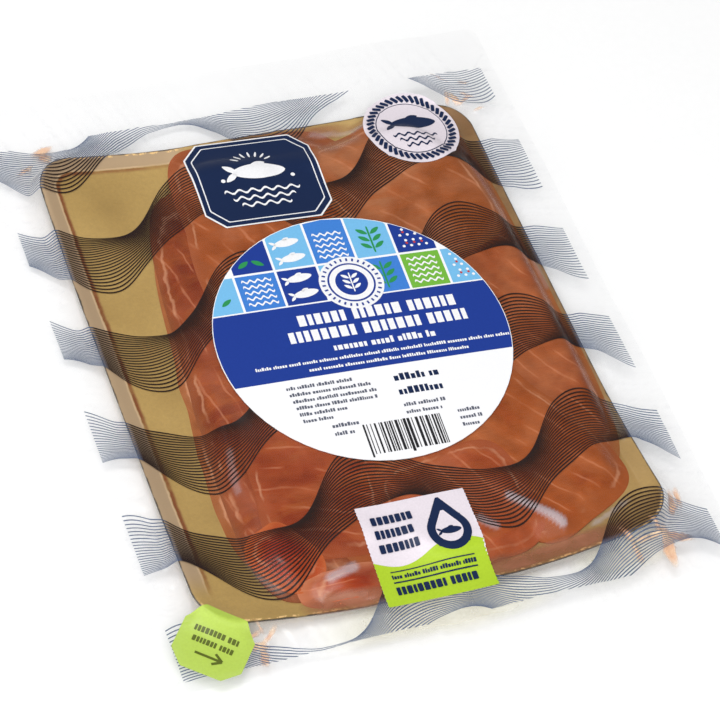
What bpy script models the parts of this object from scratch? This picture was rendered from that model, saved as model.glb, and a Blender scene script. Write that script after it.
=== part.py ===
"""A vacuum pouch of sliced smoked fish on a rounded card, with a round label stuck on top.

The pouch is one solid: a thin flange of film, the dished card with its turned-up rim, and the
relief of the overlapping slices under the film. The label is a second, thin solid just above it.
Metres, +Z up. X runs across the pouch and Y along it; the origin is the middle of the underside.
"""

import math

import bmesh
import bpy
from mathutils import Vector
from mathutils.geometry import delaunay_2d_cdt

# Pouch: a rectangle of film whose lower end bows outwards
POUCH_WIDTH = 0.200
POUCH_LENGTH = 0.247
POUCH_CORNER = 0.005
LOWER_BOW = 0.005
POUCH_Y = LOWER_BOW / 2
FILM_THICKNESS = 0.0006

# Card: a rounded rectangle with a crease and a turned-up rim all round
CARD_WIDTH = 0.1654
CARD_LENGTH = 0.1943
CARD_CORNER = 0.0135
CARD_X = -0.0009
CARD_Y = -0.0038
CARD_TOP = 0.0011
RIM_WIDTH = 0.0065
RIM_RISE = 0.0014
FILM_FOOT = 0.0030

# How far the vacuum lifts the card above the flat middle it rests on
FLAT_SHARE = 0.35
LIFT_POWER = 1.6
SIDE_LIFT = {"left": 0.0040, "right": 0.0017, "top": 0.0017, "bottom": 0.0024}
CORNER_LIFT = {
    ("left", "top"): 0.0043,
    ("right", "top"): -0.0012,
    ("left", "bottom"): 0.0005,
    ("right", "bottom"): 0.0055,
}

# Height of the film flange at its four corners, and the slow wave that runs through it
FLANGE_HEIGHT = {
    ("left", "top"): 0.0022,
    ("right", "top"): 0.0062,
    ("left", "bottom"): 0.0048,
    ("right", "bottom"): 0.0062,
}
FLANGE_WAVE = 0.0006
FLANGE_WAVE_LENGTH = 0.058

# Label: a thin round sticker that holds the film flat beneath it
LABEL_DIAMETER = 0.104
LABEL_X = 0.0055
LABEL_Y = -0.0055
LABEL_TURN = math.radians(-3.1)
LABEL_THICKNESS = 0.0003
LABEL_GAP = 0.0003
LABEL_SEAT = 0.0084
LABEL_CROWN = 0.0004
LABEL_FADE = 0.010

# Fish slices, lowest first: middle, length, width, and turn from the Y axis in degrees
SLICES = {
    "left": (-0.0345, -0.014, 0.174, 0.048, -4.5),
    "centre": (0.0000, -0.0045, 0.191, 0.074, 0.0),
    "upper_left": (-0.0200, 0.049, 0.082, 0.040, -5.0),
    "right": (0.0530, 0.004, 0.168, 0.054, 1.0),
    "upper_right": (0.0440, 0.054, 0.068, 0.056, 14.0),
    "lower_left": (-0.0310, -0.056, 0.062, 0.042, -8.0),
    "lump": (-0.0500, -0.083, 0.026, 0.019, 30.0),
    "folded_end": (-0.0320, -0.097, 0.013, 0.036, 2.0),
    "lower_right": (0.0400, -0.060, 0.074, 0.050, 30.0),
    "lower_middle": (0.0130, -0.078, 0.044, 0.050, 6.0),
}
SLICE_POWER = 4.5
BED_EDGE = 0.0060
BED_THICKNESS = 0.0052
STEP_EDGE = 0.0045
STEP_RISE = 0.0013
FISH_MARGIN = 0.0015
FISH_FADE = 0.0055

# Mesh: spacing of the points that carry the surface
OUTLINE_STEP = 0.0080
FISH_STEP = 0.0038
OPEN_STEP = 0.0080
UNDER_STEP = 0.0140
BED_RINGS = 3
BED_RING_POINTS = 120
BISECTIONS = 30
LABEL_SIDES = 64
LABEL_RINGS = 4
CLEARANCE_SHARE = 0.62
SHARP_ANGLE = math.radians(25)


def clear_scene():
    """Remove every object that Blender opens with."""
    for item in list(bpy.data.objects):
        bpy.data.objects.remove(item, do_unlink=True)


def make_material(name, colour, roughness, metallic=0.0, alpha=1.0):
    """A Principled material with the given finish."""
    material = bpy.data.materials.new(name)
    material.use_nodes = True
    shader = material.node_tree.nodes["Principled BSDF"]
    shader.inputs["Base Color"].default_value = (*colour, 1.0)
    shader.inputs["Roughness"].default_value = roughness
    shader.inputs["Metallic"].default_value = metallic
    shader.inputs["Alpha"].default_value = alpha
    return material


def smooth(value):
    """Ease from 0 to 1 as value goes from 0 to 1."""
    t = min(max(value, 0.0), 1.0)
    return t * t * (3 - 2 * t)


def mix(start, end, share):
    """The value that lies share of the way from start to end."""
    return start + (end - start) * share


def bow_shift(x, share_down):
    """How far the bowed lower end moves a point down, for its share of the way to that end."""
    u = (x - CARD_X) / (CARD_WIDTH / 2)
    return LOWER_BOW * max(1 - u * u, 0.0) * min(max(share_down, 0.0), 1.0)


def rounded_outline(width, length, corner, middle_x, middle_y, step):
    """A rounded rectangle as a ring of points, its lower end bowed outwards."""
    inner_x = width / 2 - corner
    inner_y = length / 2 - corner
    corners = ((1, 1, 0), (-1, 1, 90), (-1, -1, 180), (1, -1, 270))
    arc_steps = max(3, round(math.pi / 2 * corner / step * 2))
    ring = []
    for index, (side_x, side_y, start) in enumerate(corners):
        for turn in range(arc_steps + 1):
            angle = math.radians(start + 90 * turn / arc_steps)
            ring.append(
                (
                    side_x * inner_x + corner * math.cos(angle),
                    side_y * inner_y + corner * math.sin(angle),
                )
            )
        next_x, next_y, next_start = corners[(index + 1) % 4]
        angle = math.radians(next_start)
        end = (next_x * inner_x + corner * math.cos(angle), next_y * inner_y + corner * math.sin(angle))
        start_point = ring[-1]
        pieces = max(2, round(math.dist(start_point, end) / step))
        for piece in range(1, pieces):
            share = piece / pieces
            ring.append((mix(start_point[0], end[0], share), mix(start_point[1], end[1], share)))
    bowed = []
    for x, y in ring:
        shift = bow_shift(x + middle_x, -y / (length / 2))
        bowed.append((x + middle_x, y + middle_y - shift))
    return bowed


def card_place(x, y):
    """Where a point lies on the card: -1 to 1 across, and -1 to 1 along."""
    u = (x - CARD_X) / (CARD_WIDTH / 2)
    half_length = CARD_LENGTH / 2
    if y < CARD_Y:
        half_length += LOWER_BOW * max(1 - u * u, 0.0)
    return u, (y - CARD_Y) / half_length


def depth_in_card(x, y):
    """Distance from the card's edge, positive inside."""
    u, v = card_place(x, y)
    over_x = abs(u) * CARD_WIDTH / 2 - CARD_WIDTH / 2 + CARD_CORNER
    over_y = abs(v) * CARD_LENGTH / 2 - CARD_LENGTH / 2 + CARD_CORNER
    outside = math.hypot(max(over_x, 0.0), max(over_y, 0.0))
    return CARD_CORNER - outside - min(max(over_x, over_y), 0.0)


def card_lift(x, y):
    """How far the card's underside is lifted off the surface it rests on."""
    u, v = card_place(x, y)
    across = "left" if u < 0 else "right"
    along = "bottom" if v < 0 else "top"
    ramp_u = (max(min(abs(u), 1.0) - FLAT_SHARE, 0.0) / (1 - FLAT_SHARE)) ** LIFT_POWER
    ramp_v = (max(min(abs(v), 1.0) - FLAT_SHARE, 0.0) / (1 - FLAT_SHARE)) ** LIFT_POWER
    sides = SIDE_LIFT[across] * ramp_u + SIDE_LIFT[along] * ramp_v
    return sides + CORNER_LIFT[across, along] * ramp_u * ramp_v


def flange_height(x, y):
    """Height of the film's top face out on the flange."""
    across = smooth(0.5 + x / POUCH_WIDTH)
    along = smooth(0.5 + (y - POUCH_Y) / POUCH_LENGTH)
    lower = mix(FLANGE_HEIGHT["left", "bottom"], FLANGE_HEIGHT["right", "bottom"], across)
    upper = mix(FLANGE_HEIGHT["left", "top"], FLANGE_HEIGHT["right", "top"], across)
    wave = math.sin(2 * math.pi * (x + 0.6 * y) / FLANGE_WAVE_LENGTH)
    return mix(lower, upper, along) + FLANGE_WAVE * wave


def slice_depth(x, y, middle_x, middle_y, length, width, turn):
    """Distance in from the edge of one slice, roughly, and negative outside it."""
    angle = math.radians(turn)
    along = (y - middle_y) * math.cos(angle) - (x - middle_x) * math.sin(angle)
    across = (x - middle_x) * math.cos(angle) + (y - middle_y) * math.sin(angle)
    a = abs(along) / (length / 2)
    b = abs(across) / (width / 2)
    reach = (a**SLICE_POWER + b**SLICE_POWER) ** (1 / SLICE_POWER)
    return (1 - reach) * min(width, length) / 2


def fish_depth(x, y):
    """Distance in from the edge of the whole bed of slices, roughly."""
    return max(slice_depth(x, y, *values) for values in SLICES.values())


def fish_height(x, y):
    """Height of the fish above the card: a bed as thick as one slice, and low steps where more overlap."""
    depths = [slice_depth(x, y, *values) for values in SLICES.values()]
    overlap = sum(smooth(depth / STEP_EDGE) for depth in depths) - smooth(max(depths) / STEP_EDGE)
    return BED_THICKNESS * smooth(max(depths) / BED_EDGE) + STEP_RISE * math.tanh(overlap)


def label_seat(x, y):
    """Height of the gently crowned seat that the label lies on."""
    radius = math.hypot(x - LABEL_X, y - LABEL_Y)
    return LABEL_SEAT + LABEL_CROWN * (1 - (radius / (LABEL_DIAMETER / 2)) ** 2)


def top_height(x, y):
    """Height of the pouch's upper face."""
    depth = depth_in_card(x, y)
    rim = RIM_RISE * (1 - min(max(depth, 0.0) / RIM_WIDTH, 1.0))
    card = card_lift(x, y) + CARD_TOP + rim
    if depth < 0:
        return mix(card, flange_height(x, y), smooth(-depth / FILM_FOOT))
    inside = smooth((depth - FISH_MARGIN) / FISH_FADE)
    surface = card + fish_height(x, y) * inside
    radius = math.hypot(x - LABEL_X, y - LABEL_Y)
    held = 1 - smooth((radius - LABEL_DIAMETER / 2) / LABEL_FADE)
    return mix(surface, label_seat(x, y), held)


def under_height(x, y):
    """Height of the pouch's lower face."""
    depth = depth_in_card(x, y)
    card = card_lift(x, y)
    if depth >= 0:
        return card
    return mix(card, flange_height(x, y) - FILM_THICKNESS, smooth(-depth / FILM_FOOT))


def bed_ring(level):
    """A ring round the bed of slices where its depth has the given value."""
    ring = []
    for index in range(BED_RING_POINTS):
        angle = 2 * math.pi * index / BED_RING_POINTS
        near, far = 0.0, POUCH_LENGTH
        for _ in range(BISECTIONS):
            middle = (near + far) / 2
            x = LABEL_X + middle * math.cos(angle)
            y = LABEL_Y + middle * math.sin(angle)
            if fish_depth(x, y) > level:
                near = middle
            else:
                far = middle
        ring.append((LABEL_X + near * math.cos(angle), LABEL_Y + near * math.sin(angle)))
    return ring


def fill_points(keep_clear, step, wanted):
    """A staggered field of points where wanted says so, clear of the points already placed."""
    cell = step
    taken = {}
    for x, y in keep_clear:
        taken.setdefault((math.floor(x / cell), math.floor(y / cell)), []).append((x, y))
    points = []
    row_step = step * math.sqrt(3) / 2
    rows = math.ceil(POUCH_LENGTH / row_step)
    columns = math.ceil(POUCH_WIDTH / step)
    for row in range(-rows, rows):
        for column in range(-columns, columns):
            x = (column + 0.5 * (row % 2)) * step
            y = row * row_step
            if not wanted(x, y):
                continue
            cell_x, cell_y = math.floor(x / cell), math.floor(y / cell)
            near = (
                point
                for side_x in (-1, 0, 1)
                for side_y in (-1, 0, 1)
                for point in taken.get((cell_x + side_x, cell_y + side_y), ())
            )
            if all(math.dist(point, (x, y)) > CLEARANCE_SHARE * step for point in near):
                points.append((x, y))
    return points


def inside_pouch(x, y):
    """True for a point that is well inside the film's outline."""
    shift = bow_shift(x, (POUCH_Y - y) / (POUCH_LENGTH / 2))
    within_x = abs(x) < POUCH_WIDTH / 2 - OPEN_STEP / 2
    return within_x and abs(y - POUCH_Y + shift) < POUCH_LENGTH / 2 - OPEN_STEP / 2


def triangulate(rings, loose):
    """Triangles over the first ring, kept to all the rings' edges, with loose points inside."""
    points = []
    edges = []
    for ring in rings:
        first = len(points)
        points.extend(ring)
        edges.extend((first + i, first + (i + 1) % len(ring)) for i in range(len(ring)))
    points.extend(loose)
    boundary = [list(range(len(rings[0])))]
    flat = [Vector(point) for point in points]
    verts, _, faces, _, _, _ = delaunay_2d_cdt(flat, edges, boundary, 1, 1e-7)
    return verts, faces


def build_pouch():
    """The film, the card and the fish as one closed solid."""
    outline = rounded_outline(POUCH_WIDTH, POUCH_LENGTH, POUCH_CORNER, 0.0, POUCH_Y, OUTLINE_STEP)
    card = {"corner": CARD_CORNER, "width": CARD_WIDTH, "length": CARD_LENGTH}

    def card_ring(outwards, step):
        return rounded_outline(
            card["width"] + 2 * outwards,
            card["length"] + 2 * outwards,
            card["corner"] + outwards,
            CARD_X,
            CARD_Y,
            step,
        )

    top_rings = [
        outline,
        card_ring(FILM_FOOT, OUTLINE_STEP),
        card_ring(0.0, OUTLINE_STEP * 0.75),
        card_ring(-RIM_WIDTH, OUTLINE_STEP * 0.75),
    ]
    top_rings.extend(bed_ring(BED_EDGE * ring / BED_RINGS) for ring in range(BED_RINGS + 1))
    placed = [point for ring in top_rings for point in ring]

    def on_fish(x, y):
        return fish_depth(x, y) > BED_EDGE

    def in_the_open(x, y):
        return inside_pouch(x, y) and fish_depth(x, y) < 0

    fish_points = fill_points(placed, FISH_STEP, on_fish)
    open_points = fill_points(placed + fish_points, OPEN_STEP, in_the_open)
    top_verts, top_faces = triangulate(top_rings, fish_points + open_points)

    under_rings = [outline, card_ring(FILM_FOOT, OUTLINE_STEP), card_ring(0.0, OUTLINE_STEP)]
    placed = [point for ring in under_rings for point in ring]
    under_points = fill_points(placed, UNDER_STEP, inside_pouch)
    under_verts, under_faces = triangulate(under_rings, under_points)

    mesh = bmesh.new()
    top = [mesh.verts.new((x, y, top_height(x, y))) for x, y in top_verts]
    under = [mesh.verts.new((x, y, under_height(x, y))) for x, y in under_verts]
    for face in top_faces:
        mesh.faces.new([top[i] for i in face])
    for face in under_faces:
        mesh.faces.new([under[i] for i in reversed(face)])
    for i in range(len(outline)):
        j = (i + 1) % len(outline)
        mesh.faces.new([top[j], top[i], under[i], under[j]])
    bmesh.ops.recalc_face_normals(mesh, faces=mesh.faces)
    return finish_object("bag", mesh)


def build_label():
    """The round sticker: a thin disc of rings that follows its crowned seat."""
    mesh = bmesh.new()
    upper, lower = [], []
    for ring in range(1, LABEL_RINGS + 1):
        radius = LABEL_DIAMETER / 2 * ring / LABEL_RINGS
        for faces, rise in ((upper, LABEL_GAP + LABEL_THICKNESS), (lower, LABEL_GAP)):
            row = []
            for side in range(LABEL_SIDES):
                angle = LABEL_TURN + 2 * math.pi * side / LABEL_SIDES
                x = LABEL_X + radius * math.cos(angle)
                y = LABEL_Y + radius * math.sin(angle)
                row.append(mesh.verts.new((x, y, label_seat(x, y) + rise)))
            faces.append(row)
    centre_height = label_seat(LABEL_X, LABEL_Y) + LABEL_GAP
    hub_top = mesh.verts.new((LABEL_X, LABEL_Y, centre_height + LABEL_THICKNESS))
    hub_under = mesh.verts.new((LABEL_X, LABEL_Y, centre_height))
    for side in range(LABEL_SIDES):
        after = (side + 1) % LABEL_SIDES
        mesh.faces.new((hub_top, upper[0][side], upper[0][after]))
        mesh.faces.new((hub_under, lower[0][after], lower[0][side]))
        for inner, outer in zip(upper, upper[1:]):
            mesh.faces.new((inner[side], outer[side], outer[after], inner[after]))
        for inner, outer in zip(lower, lower[1:]):
            mesh.faces.new((inner[after], outer[after], outer[side], inner[side]))
        mesh.faces.new((upper[-1][side], lower[-1][side], lower[-1][after], upper[-1][after]))
    bmesh.ops.recalc_face_normals(mesh, faces=mesh.faces)
    return finish_object("round_label", mesh)


def finish_object(name, mesh):
    """Turn a bmesh into a linked object, smooth except at its sharp edges."""
    data = bpy.data.meshes.new(name)
    mesh.to_mesh(data)
    mesh.free()
    data.shade_smooth()
    data.set_sharp_from_angle(angle=SHARP_ANGLE)
    item = bpy.data.objects.new(name, data)
    bpy.context.collection.objects.link(item)
    return item


def main():
    clear_scene()
    pouch = build_pouch()
    pouch.data.materials.append(make_material("fish_under_film", (0.47, 0.13, 0.05), 0.25))
    label = build_label()
    label.data.materials.append(make_material("label_paper", (0.10, 0.18, 0.55), 0.40))


main()
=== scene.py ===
import math
from random import Random

import bpy
import numpy as np
from mathutils import Matrix, Vector
from mathutils.bvhtree import BVHTree


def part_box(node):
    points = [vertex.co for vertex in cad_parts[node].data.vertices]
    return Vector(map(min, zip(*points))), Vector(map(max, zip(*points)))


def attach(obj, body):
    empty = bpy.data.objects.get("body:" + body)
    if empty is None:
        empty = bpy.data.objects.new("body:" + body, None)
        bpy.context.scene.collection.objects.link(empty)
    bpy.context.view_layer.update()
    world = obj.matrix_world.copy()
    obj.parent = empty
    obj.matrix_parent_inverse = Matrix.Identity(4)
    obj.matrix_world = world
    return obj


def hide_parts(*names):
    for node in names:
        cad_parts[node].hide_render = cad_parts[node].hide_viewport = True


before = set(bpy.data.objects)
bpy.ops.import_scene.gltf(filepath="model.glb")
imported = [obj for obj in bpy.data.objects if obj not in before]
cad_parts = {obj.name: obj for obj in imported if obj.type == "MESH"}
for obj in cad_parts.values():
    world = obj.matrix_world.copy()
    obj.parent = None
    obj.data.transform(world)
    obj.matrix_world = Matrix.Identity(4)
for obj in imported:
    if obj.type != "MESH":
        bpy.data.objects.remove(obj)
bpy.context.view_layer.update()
bagLow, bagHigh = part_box("bag")
labelLow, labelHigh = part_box("round_label")
labelMiddle = (labelLow + labelHigh) / 2
mm = 0.001
print("frame loaded")


def linear(red, green, blue, share=1.0):
    # a colour as seen on a screen, 0 to 255, as the shader wants it, darkened to a share of its light
    light = (((c / 255 + 0.055) / 1.055) ** 2.4 if c > 10 else c / 255 / 12.92 for c in (red, green, blue))
    return tuple(share * c for c in light)


def clearSelection():
    if bpy.context.object and bpy.context.object.mode != "OBJECT":
        bpy.ops.object.mode_set(mode="OBJECT")
    bpy.ops.object.select_all(action="DESELECT")


def pickOnly(*pieces):
    clearSelection()
    for piece in pieces:
        piece.select_set(True)
    bpy.context.view_layer.objects.active = pieces[0]


def readPoints(piece):
    points = np.empty(len(piece.data.vertices) * 3)
    piece.data.vertices.foreach_get("co", points)
    return points.reshape(-1, 3)


def writePoints(piece, points):
    piece.data.vertices.foreach_set("co", np.ascontiguousarray(points, dtype=float).ravel())
    piece.data.update()


def writeNote(piece, name, values):
    # a number at each point of a piece, for its material to read
    note = piece.data.attributes.get(name) or piece.data.attributes.new(name, "FLOAT", "POINT")
    note.data.foreach_set("value", np.asarray(values, dtype=np.float32))


def treeOf(piece):
    corners = [tuple(point) for point in readPoints(piece)]
    return BVHTree.FromPolygons(corners, [tuple(face.vertices) for face in piece.data.polygons])


def heightsOn(tree, x, y, fromAbove=True):
    # height of a surface at each place; just past its edge the nearest point counts
    start, way = (1.0, Vector((0, 0, -1))) if fromAbove else (-1.0, Vector((0, 0, 1)))
    heights = np.empty(len(x))
    for i in range(len(x)):
        hit = tree.ray_cast(Vector((x[i], y[i], start)), way)[0]
        if hit is None:
            hit = tree.find_nearest(Vector((x[i], y[i], 4 * mm)))[0]
        heights[i] = hit.z
    return heights


def ease(value, start=0.0, width=1.0):
    # 0 up to the start, then smoothly up to 1 over the width
    share = np.clip((value - start) / width, 0, 1)
    return share * share * (3 - 2 * share)


def turned(x, y, turn, middle):
    # places turned by some degrees, then moved to a middle
    c, s = math.cos(math.radians(turn)), math.sin(math.radians(turn))
    return middle[0] + x * c - y * s, middle[1] + x * s + y * c


def addModifier(piece, kind, **settings):
    pickOnly(piece)
    modifier = piece.modifiers.new(kind.title(), kind)
    for name, value in settings.items():
        setattr(modifier, name, value)
    bpy.ops.object.modifier_apply(modifier=modifier.name)


def smoothHeights(piece, rounds):
    # evens out the heights alone, and gives them back
    addModifier(piece, "SMOOTH", use_x=False, use_y=False, factor=0.5, iterations=rounds)
    return readPoints(piece)[:, 2]


def editAll(piece, operator, **settings):
    # one edit mode operator on the whole piece
    pickOnly(piece)
    bpy.ops.object.mode_set(mode="EDIT")
    bpy.ops.mesh.select_all(action="SELECT")
    operator(**settings)
    bpy.ops.object.mode_set(mode="OBJECT")


def repeat(piece, count, step):
    if count > 1:
        addModifier(piece, "ARRAY", count=count, use_relative_offset=False, use_constant_offset=True,
                    constant_offset_displace=step, use_merge_vertices=False)


def addGrid(name, columns, rows):
    clearSelection()
    bpy.ops.mesh.primitive_grid_add(x_subdivisions=columns, y_subdivisions=rows, size=2, calc_uvs=True)
    piece = bpy.context.object
    piece.name = piece.data.name = name
    return piece


def shapeSheet(name, spacing, middle, size, reach, turn=0.0, settle=4):
    # a flat grid whose outer rows settle onto an outline, given as its reach in each direction
    columns, rows = (max(2, round(side / spacing)) for side in size)
    piece = addGrid(name, columns, rows)
    points = readPoints(piece)
    out = np.maximum(abs(points[:, 0]), abs(points[:, 1]))
    x, y = points[:, 0] * size[0] / 2, points[:, 1] * size[1] / 2
    square = np.hypot(x, y) / np.maximum(out, 1e-9)
    share = 1 + (reach(np.arctan2(y, x)) / np.maximum(square, 1e-9) - 1) * out**settle
    points[:, 0], points[:, 1] = turned(x * share, y * share, turn, middle)
    writePoints(piece, points)
    writeNote(piece, "inward", (1 - out) * min(size) / 2)
    return piece


def roundedReach(width, length, corner):
    a, b = width / 2, length / 2

    def reach(angle):
        c, s = abs(np.cos(angle)), abs(np.sin(angle))
        flat = np.minimum(a / np.maximum(c, 1e-9), b / np.maximum(s, 1e-9))
        along = c * (a - corner) + s * (b - corner)
        rest = along**2 - (a - corner) ** 2 - (b - corner) ** 2 + corner**2
        onArc = (flat * c > a - corner) & (flat * s > b - corner)
        return np.where(onArc, along + np.sqrt(np.maximum(rest, 0)), flat)

    return reach


def looseReach(width, length, power, wobble=0.0, seed=1):
    # a rounded form with an uneven edge
    draw = Random(seed)
    waves = [(k, draw.uniform(0, 2 * math.pi), draw.uniform(0.4, 1) / k) for k in range(2, 11)]

    def reach(angle):
        across, along = abs(np.cos(angle) / width * 2), abs(np.sin(angle) / length * 2)
        uneven = 1 + wobble * sum(size * np.sin(k * angle + phase) for k, phase, size in waves)
        return (across**power + along**power) ** (-1 / power) * uneven

    return reach


def sidesReach(sides):
    # each side is a direction in degrees and a distance from the patch's middle
    def reach(angle):
        best = np.full(len(angle), 1.0)
        for direction, distance in sides:
            facing = np.cos(angle - math.radians(direction))
            best = np.where(facing > 1e-6, np.minimum(best, distance / np.maximum(facing, 1e-6)), best)
        return best

    return reach


def joinPieces(name, pieces):
    pickOnly(*pieces)
    if len(pieces) > 1:
        bpy.ops.object.join()
    piece = bpy.context.object
    piece.name = piece.data.name = name
    return piece


def makeSolid(piece, top, base, **notes):
    # gives a sheet a second layer, lays the two at their own heights and writes the same notes on both
    flat = readPoints(piece)
    count = len(flat)
    addModifier(piece, "SOLIDIFY", thickness=0.5 * mm, offset=-1.0, use_even_offset=False)
    points = readPoints(piece)
    points[:count, :2] = points[count:, :2] = flat[:, :2]
    points[:count, 2], points[count:, 2] = top, base
    writePoints(piece, points)
    editAll(piece, bpy.ops.mesh.normals_make_consistent, inside=False)
    for name, values in notes.items():
        writeNote(piece, name, np.tile(values, 2))


def finishPiece(piece, slot, *nodes):
    pickOnly(piece)
    bpy.ops.object.shade_smooth_by_angle(angle=math.radians(50))
    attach(piece, "root")
    if nodes:
        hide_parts(*nodes)


def newMaterial(name, colour, roughness, **sockets):
    material = bpy.data.materials.new(name)
    material.use_nodes = True
    shader = material.node_tree.nodes["Principled BSDF"]
    shader.inputs["Base Color"].default_value = (*colour, 1)
    shader.inputs["Roughness"].default_value = roughness
    for socket, value in sockets.items():
        shader.inputs[socket.replace("_", " ")].default_value = value
    return material, shader


def addNode(beside, kind, inputs=None, **settings):
    # beside is any node or socket of the same material
    tree = beside.id_data
    node = tree.nodes.new(kind)
    for name, value in settings.items():
        setattr(node, name, value)
    for name, value in (inputs or {}).items():
        if isinstance(value, bpy.types.NodeSocket):
            tree.links.new(value, node.inputs[name])
        else:
            node.inputs[name].default_value = value
    return node


def linkTo(value, node, socket):
    node.id_data.links.new(value, node.inputs[socket])


def objectPlace(shader, turn=0.0, stretch=(1, 1, 1)):
    place = addNode(shader, "ShaderNodeTexCoord").outputs["Object"]
    return addNode(shader, "ShaderNodeMapping", {
        "Vector": place, "Rotation": (0, 0, math.radians(turn)), "Scale": stretch}).outputs["Vector"]


def noteOf(beside, name):
    return addNode(beside, "ShaderNodeAttribute", attribute_name=name).outputs["Fac"]


def noiseAt(place, size, detail=3.0, roughness=0.5, distortion=0.0):
    return addNode(place, "ShaderNodeTexNoise", {
        "Vector": place, "Scale": 1 / size, "Detail": detail, "Roughness": roughness,
        "Distortion": distortion}).outputs["Fac"]


def rampOf(value, *stops):
    ramp = addNode(value, "ShaderNodeValToRGB", {"Fac": value})
    while len(ramp.color_ramp.elements) < len(stops):
        ramp.color_ramp.elements.new(0.5)
    for element, (place, colour) in zip(ramp.color_ramp.elements, stops):
        element.position = place
        element.color = (*colour, 1) if isinstance(colour, tuple) else (colour, colour, colour, 1)
    return ramp.outputs["Color"]


def mathOf(operation, first, second):
    return addNode(first, "ShaderNodeMath", {0: first, 1: second}, operation=operation).outputs["Value"]


def product(first, *others):
    for other in others:
        first = mathOf("MULTIPLY", first, other)
    return first


def mixOf(share, first, second, blend="MIX"):
    node = addNode(first, "ShaderNodeMix", data_type="RGBA", blend_type=blend)
    for socket, value in ((0, share), (6, first), (7, second)):
        if isinstance(value, bpy.types.NodeSocket):
            linkTo(value, node, socket)
        else:
            node.inputs[socket].default_value = value if isinstance(value, float) else (*value, 1)
    return node.outputs[2]


def shaded(share, colour, noise, darkest, lightest):
    # darkens and lightens a colour where a noise is low and high
    return mixOf(share, colour, rampOf(noise, darkest, lightest), "MULTIPLY")


def inwardFrom(noise, ragged):
    # centimetres in from a piece's edge, with a noise to make the edge ragged
    return product(mathOf("ADD", noteOf(noise, "inward"), product(noise, ragged)), 100.0)


def addBump(shader, height, distance, strength):
    bump = addNode(shader, "ShaderNodeBump", {
        "Height": height, "Distance": distance, "Strength": strength}).outputs["Normal"]
    linkTo(bump, shader, "Normal")
    return bump


# the gold card under the fish; its edge and rim are also what the film bends over
card = {
    "width": 165.4 * mm, "length": 194.3 * mm, "corner": 13.5 * mm, "x": -0.9 * mm, "y": -3.8 * mm,
    "bow": 5 * mm, "rim": 6.5 * mm, "rimRise": 1.4 * mm, "top": 0.95 * mm, "thickness": 0.6 * mm,
    "spacing": 1.1 * mm, "underFilm": 0.14 * mm, "overFilm": 0.08 * mm, "inset": 0.996,
    "grain": 1.2 * mm, "cloud": 34 * mm, "wear": 9 * mm, "blotch": 8 * mm, "spark": 2.2 * mm,
    "rag": 5 * mm, "ragged": 1.2 * mm,
    "gold": linear(188, 154, 88), "dark": linear(176, 143, 80), "light": linear(196, 162, 95),
    # the rim's paler sheen and the lit line are a painted reflection and highlight; the glint is a painted
    # highlight
    "paintedRimSheen": linear(190, 163, 134), "glint": linear(255, 214, 146), "amber": linear(136, 70, 30),
    "lit": linear(226, 194, 152), "cutEdge": linear(64, 56, 46), "stain": linear(124, 88, 50),
    # where the rim is bent, glinting with a painted highlight, or stained: how far out it starts and over how
    # much it grows
    "bentLeft": (55 * mm, 14 * mm), "bentTop": (84 * mm, 5 * mm), "besideTop": (24 * mm, 8 * mm),
    "flatBelow": (80 * mm, 12 * mm), "glintsBelow": (88 * mm, 8 * mm), "oilyRight": (62 * mm, 8 * mm),
    "oilierUp": (-62 * mm, 30 * mm), "oilyBelow": (84 * mm, 8 * mm), "oilyBeside": (5 * mm, 20 * mm),
}


def cardBow(x):
    # how far the lower edge of the card and the pouch bows out
    across = (x - card["x"]) / (card["width"] / 2)
    return card["bow"] * np.maximum(1 - across**2, 0)


def cardDepth(x, y):
    # distance in from the card's edge, negative outside it
    across = (x - card["x"]) / (card["width"] / 2)
    half = card["length"] / 2 + np.where(y < card["y"], cardBow(x), 0)
    overX = abs(across) * card["width"] / 2 - card["width"] / 2 + card["corner"]
    overY = abs((y - card["y"]) / half) * card["length"] / 2 - card["length"] / 2 + card["corner"]
    outside = np.hypot(np.maximum(overX, 0), np.maximum(overY, 0))
    return card["corner"] - outside - np.minimum(np.maximum(overX, overY), 0)


def bowedSheet(name, spacing, middle, size, corner, settle):
    # a rounded sheet whose lower half is bowed like the card's
    piece = shapeSheet(name, spacing, middle, size, roundedReach(*size, corner), settle=settle)
    points = readPoints(piece)
    points[:, 1] -= cardBow(points[:, 0]) * np.clip((middle[1] - points[:, 1]) / (size[1] / 2), 0, 1)
    writePoints(piece, points)
    return piece


pouch = {
    "corner": 5 * mm, "spacing": 1.0 * mm, "filmGap": 0.15 * mm, "foot": 3 * mm, "edgeShare": 0.9985,
    "smoothing": 4, "fishSmoothing": 14, "underSmoothing": 14, "overFish": (3 * mm, 4 * mm),
    "calmRounds": 10, "calmSmoothing": 20, "lastSmoothing": 6, "calmDip": 0.2 * mm, "calmFade": 7 * mm,
    "wrinkle": 0.17 * mm, "wrinkleReach": 15 * mm, "wrinkleSpacing": 10 * mm, "wrinkleFade": 4 * mm,
    "wrinkleClear": 6 * mm, "labelFade": 4 * mm, "underLabel": 0.05 * mm, "creaseEnd": 2 * mm,
    "hazeAndPaintedLight": linear(232, 233, 242), "thinVeil": 0.004, "foldVeil": 0.05, "creaseGlintShare": 0.42,
    "gloss": 0.27, "mirror": 0.020, "ripple": 12 * mm, "wisp": 5 * mm, "wispLeast": 0.35,
}
# the wrinkles' waves: spacing as a share of the pouch's, phase, and how many times weaker
wrinkleWaves = [(1.0, 0.3, 1.2), (0.63, 1.9, 1.6), (1.71, 4.1, 0.9), (0.37, 2.7, 2.8)]
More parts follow.
